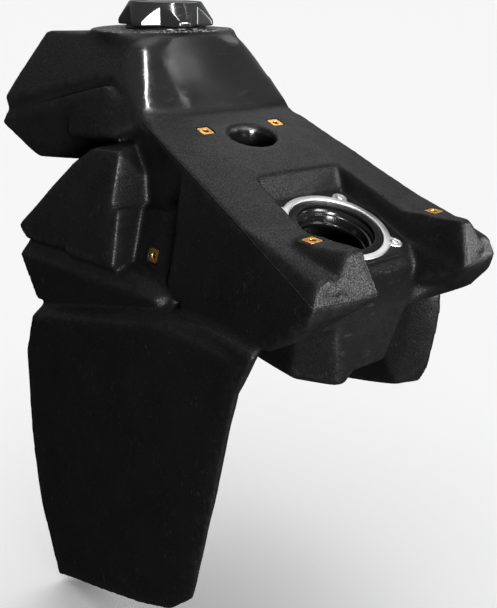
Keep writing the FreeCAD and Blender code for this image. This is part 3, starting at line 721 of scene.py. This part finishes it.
def sphere_directions(count):
    """Evenly spread unit directions."""
    index = np.arange(count) + 0.5
    rise = 1 - 2 * index / count
    turn = math.pi * (1 + 5 ** 0.5) * index
    flat = np.sqrt(1 - rise ** 2)
    return np.stack([flat * np.cos(turn), flat * np.sin(turn), rise], 1)


def faces_in_the_open(points, faces):
    """Whether each face can see out of the object."""
    tree = BVHTree.FromPolygons(points.tolist(), faces.tolist())
    corners = points[faces]
    normals = np.cross(corners[:, 1] - corners[:, 0], corners[:, 2] - corners[:, 0])
    lengths = np.linalg.norm(normals, axis=1, keepdims=True)
    normals = normals / np.maximum(lengths, 1e-9)
    starts = corners.mean(1) + RAY_START * normals
    directions = sphere_directions(RAY_COUNT)
    seen = np.zeros(len(faces), bool)
    for index, (start, normal) in enumerate(zip(starts, normals)):
        for direction in directions[directions @ normal > GRAZING]:
            if tree.ray_cast(Vector(start), Vector(direction), RAY_LENGTH)[0] is None:
                seen[index] = True
                break
    return seen


def near_segment(axes, start, end, reach):
    """One along a segment, easing to nothing at a distance from it."""
    start = np.array(start, float)
    span = np.array(end, float) - start
    along = sum(axis_values * part for axis_values, part in zip(axes, span)) - start @ span
    share = np.clip(along / (span @ span), 0, 1)
    gap = 0
    for axis_values, low, part in zip(axes, start, span):
        gap = gap + (axis_values - low - share * part) ** 2
    return np.clip(SOFT_FADE - np.sqrt(gap) / reach, 0, 1).astype(np.float32)


def tank_field():
    """Distance field of the tank's filled outside, with its edges rounded, some more than others."""
    points, faces = joined([node_mesh("tank_shell")] + tank_plugs())
    faces = np.array(faces)
    field = Field(points, faces[faces_in_the_open(points, faces)], TANK_VOXEL)
    axes = field.axes()
    crisp = field.blurred(EDGE_BLUR)
    total = crisp
    shares = np.ones_like(crisp)
    for start, end, reach, blur in SOFT_EDGES:
        soft = field.blurred(blur)
        for side in (1, -1):
            mirror = (side, 1, 1)
            share = near_segment(axes, np.multiply(start, mirror), np.multiply(end, mirror), reach)
            weight = share * share * SOFT_HOLD
            total = total + weight * (crisp + share * (soft - crisp))
            shares = shares + weight
    field.values = total / shares - SKIN_GROWTH
    return field


def ring_outline(count):
    """The pump ring's outer reach at evenly spaced bearings in its own frame."""
    points, triangles = node_mesh("pump_ring")
    flat = np.array(pump_frame().inverted())
    local = points @ flat[:3, :3].T + flat[:3, 3]
    tree = BVHTree.FromPolygons(local.tolist(), triangles.tolist())
    height = local[:, 2].mean()
    reaches = []
    for k in range(count):
        turn = 2 * math.pi * k / count
        outwards = Vector((math.cos(turn), math.sin(turn), 0))
        hit = tree.ray_cast(outwards * 90 + Vector((0, 0, height)), -outwards)[0]
        reaches.append(math.hypot(hit.x, hit.y))
    return reaches


def rounded_square(half, corner, height):
    """Points of a square with rounded corners about the local +Z."""
    points = []
    for quarter in range(4):
        for step in range(7):
            turn = math.radians(90 * quarter + 15 * step)
            middle = math.radians(90 * quarter + 45)
            reach = (half - corner) * math.sqrt(2)
            x = reach * math.cos(middle) + corner * math.cos(turn)
            y = reach * math.sin(middle) + corner * math.sin(turn)
            points.append((x, y, height))
    return points


def tank_cutters():
    """Solids for the filler bore, the pump opening with its ring's rebate, and the insert pockets."""
    outline = ring_outline(RIM_COUNT)
    rings = []
    for height in (ABOVE_RING, RING_SEAT):
        ring = []
        for k, reach in enumerate(outline):
            turn = 2 * math.pi * k / RIM_COUNT
            reach = reach + RING_GAP
            ring.append((reach * math.cos(turn), reach * math.sin(turn), height))
        rings.append(ring)
    rings += [circle(RIM_OUTER, height, RIM_COUNT) for height in (RING_SEAT, RIM_LOW)]
    solids = [stacked_rings(pump_frame(), rings, False)]
    solids.append(lathed(Matrix(), [(FILLER_CUT, -14), (FILLER_CUT, 6)], 96, False))
    for name in thread_names():
        pocket = [rounded_square(*POCKET, height) for height in (-3.0, 0.2)]
        pocket += [rounded_square(*POCKET_MOUTH, height) for height in (1.2, 4.0)]
        solids.append(stacked_rings(mount_frame(name, THREAD_RISE), pocket, False))
    return joined(solids)


def waves():
    """Directions, lengths and phases of the slow waves in the moulding's surface."""
    index = np.arange(WAVE_COUNT)
    lengths = WAVE_SHORTEST + WAVE_SPREAD * ((index * 0.618) % 1)
    return sphere_directions(WAVE_COUNT) * (2 * math.pi / lengths)[:, None], index * 2.4


def waviness(points):
    """Height of the surface's slow unevenness at points, and its slope there."""
    turns, phases = waves()
    angles = points @ turns.T + phases
    return WAVE_HEIGHT * np.sin(angles).sum(1), WAVE_HEIGHT * np.cos(angles) @ turns


def make_tank():
    """The hollow moulding with its openings cut; gives the field of its outside."""
    field = tank_field()
    outer_points, outer_faces = field.surface(0.0, SKIN_MERGE)
    rise = waviness(outer_points)[0]
    outer_points = outer_points + field.normals(outer_points) * rise[:, None]
    inner_points, inner_faces = field.surface(-WALL, LINING_MERGE)
    inner_faces = [face[::-1] for face in outward(inner_points, inner_faces)]
    outer_faces = outward(outer_points, outer_faces)
    skin = mesh_object("tank_skin", *joined([(outer_points, outer_faces), (inner_points, inner_faces)]))
    carved(skin, mesh_object("tank_cutter", *tank_cutters()))

    def wavy_normals(points):
        """The field's directions, tipped by the slope of the surface's unevenness."""
        normals = field.normals(points)
        slope = waviness(points)[1]
        normals = normals - slope + normals * (slope * normals).sum(1, keepdims=True)
        return normals / np.linalg.norm(normals, axis=1, keepdims=True)

    shade_by_field(skin, wavy_normals)
    points = mesh_arrays(skin.data)[0]
    # The skin's convexity at its points, for edges painted lighter, partly as wear and partly as a
    # painted highlight.
    rounder = field.holding(field.blurred(WEAR_HIGHLIGHT_BLUR))
    wear_and_highlight = np.clip((rounder.sampled(points) - field.sampled(points) - WEAR_HIGHLIGHT_START) / WEAR_HIGHLIGHT_SPAN, 0, 1)
    layer = skin.data.attributes.new("wear_and_highlight", "FLOAT", "POINT")
    layer.data.foreach_set("value", wear_and_highlight.astype(np.float32))
    put_on(skin, "tank", "moulded_black", "tank_shell")
    return field


# ---------------------------------------------------------------------------------------------
# Hardware
# ---------------------------------------------------------------------------------------------


def round_off(name, body, slot, voxel, sigma, adaptivity):
    """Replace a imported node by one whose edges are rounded."""
    field = Field(*node_mesh(name), voxel)
    field.values = field.blurred(sigma)
    points, faces = field.surface(0.0, adaptivity)
    item = mesh_object(name + "_rounded", points, outward(points, faces))
    shade_by_field(item, field.normals)
    put_on(item, body, slot, name)


def make_pump_rim():
    """The moulded rim inside the pump ring, and the glossy stepped neck below it."""
    place = pump_frame()
    rim = [(36.0, -3.2), (36.0, -0.5), (35.5, 0.0), (31.6, 0.0), (31.1, 0.25), (30.6, 0.3), (30.2, 0.1)]
    rim += [(30.05, -0.4), (30.05, -3.2)]
    item = mesh_object("pump_neck_rim", *lathed(place, rim))
    put_on(item, "tank", "moulded_black")
    sleeve = [(36.0, -3.3), (30.0, -3.3), (30.0, -7.6), (29.7, -8.0), (28.6, -8.1), (28.25, -8.5)]
    sleeve += [(28.2, -14.5), (27.9, -14.95), (27.2, -15.1), (27.0, -15.5), (27.0, -18.7)]
    sleeve += [(30.0, -18.9), (36.0, -14)]
    item = mesh_object("pump_neck_sleeve", *lathed(place, sleeve))
    put_on(item, "tank", "neck_black")


def make_rivets():
    """Low domed heads over the pump ring's rivets."""
    place = pump_frame()
    for name in frame["nodes"]:
        if not name.startswith("pump_ring_rivet"):
            continue
        points = node_mesh(name)[0]
        centre = place.inverted() @ Vector(points.mean(0))
        matrix = place @ Matrix.Translation((centre.x, centre.y, 1.0))
        head = [(0.05, 0.75), (1.2, 0.66), (2.2, 0.36), (2.8, -0.05), (2.8, -0.6), (1.7, -0.6)]
        head += [(1.7, -7.8), (0.05, -7.8)]
        item = mesh_object(name + "_domed", *lathed(matrix, head, 40, False))
        put_on(item, "tank", "aluminium", name)


# Corners of the mould's parting line on the left, from the dome's foot round the tail to the pump recess.
PARTING = [(-77, -84, -64), (-81, -145, -86), (-88, -224, -112.3), (-93, -305, -144.5), (-44, -316, -143)]
PARTING += [(-44, -272, -151), (0, -268, -151)]
PARTING_RADIUS = 0.7
BEAD_STEP = 3
BEAD_SIDES = 8
BEAD_SINK = 0.35
# How light the parting line is painted: partly wear of its flash, partly a painted highlight.
LINE_WEAR_HIGHLIGHT = 0.8


def onto_surface(field, points):
    """Points moved along the field's slope until they lie on its surface."""
    for _ in range(4):
        points = points - field.normals(points) * field.sampled(points)[:, None]
    return points


def bead(field, path, radius):
    """A thin raised line that lies on the tank's surface along a path."""
    samples = []
    for start, end in zip(path, path[1:]):
        start, end = np.array(start, float), np.array(end, float)
        steps = max(2, int(np.linalg.norm(end - start) / BEAD_STEP))
        samples.extend(start + (end - start) * k / steps for k in range(steps))
    centres = onto_surface(field, np.array(samples))
    ups = field.normals(centres)
    centres = centres + ups * (waviness(centres)[0] - BEAD_SINK * radius)[:, None]
    alongs = np.gradient(centres, axis=0)
    alongs /= np.linalg.norm(alongs, axis=1, keepdims=True)
    sides = np.cross(alongs, ups)
    rings = []
    for k, (centre, side, up) in enumerate(zip(centres, sides, ups)):
        size = radius * (0.85 + 0.25 * math.sin(k * 1.7) * math.sin(k * 0.53))
        ring = []
        for step in range(BEAD_SIDES):
            turn = 2 * math.pi * step / BEAD_SIDES
            ring.append(centre + size * (math.cos(turn) * side + math.sin(turn) * up))
        rings.append(ring)
    return stacked_rings(Matrix(), rings, False)


def make_lines(field):
    """The raised parting line left by the mould on each side, painted lighter as partly wear and partly a
    painted highlight.
    """
    beads = [bead(field, [(side * x, y, z) for x, y, z in PARTING], PARTING_RADIUS) for side in (1, -1)]
    item = mesh_object("moulding_lines", *joined(beads))
    layer = item.data.attributes.new("wear_and_highlight", "FLOAT", "POINT")
    layer.data.foreach_set("value", np.full(len(item.data.vertices), LINE_WEAR_HIGHLIGHT, np.float32))
    put_on(item, "tank", "moulded_black")


tank = make_tank()
make_lines(tank)
make_pump_rim()
make_rivets()
round_off("filler_cap", "cap", "cap_black", voxel=0.6, sigma=0.75, adaptivity=0.004)
round_off("filler_neck", "tank", "neck_black", voxel=0.6, sigma=0.5, adaptivity=0.02)
round_off("pump_ring", "tank", "aluminium", voxel=0.5, sigma=0.6, adaptivity=0.004)
for name in frame["nodes"]:
    if name.startswith("insert_"):
        round_off(name, "tank", "brass", voxel=0.3, sigma=0.3, adaptivity=0.01)

for row in frame["record"]["subparts"]:
    node = frame["nodes"][row["node"]]
    node.data.materials.clear()
    node.data.materials.append(PAINTS[row["material_slot"]])
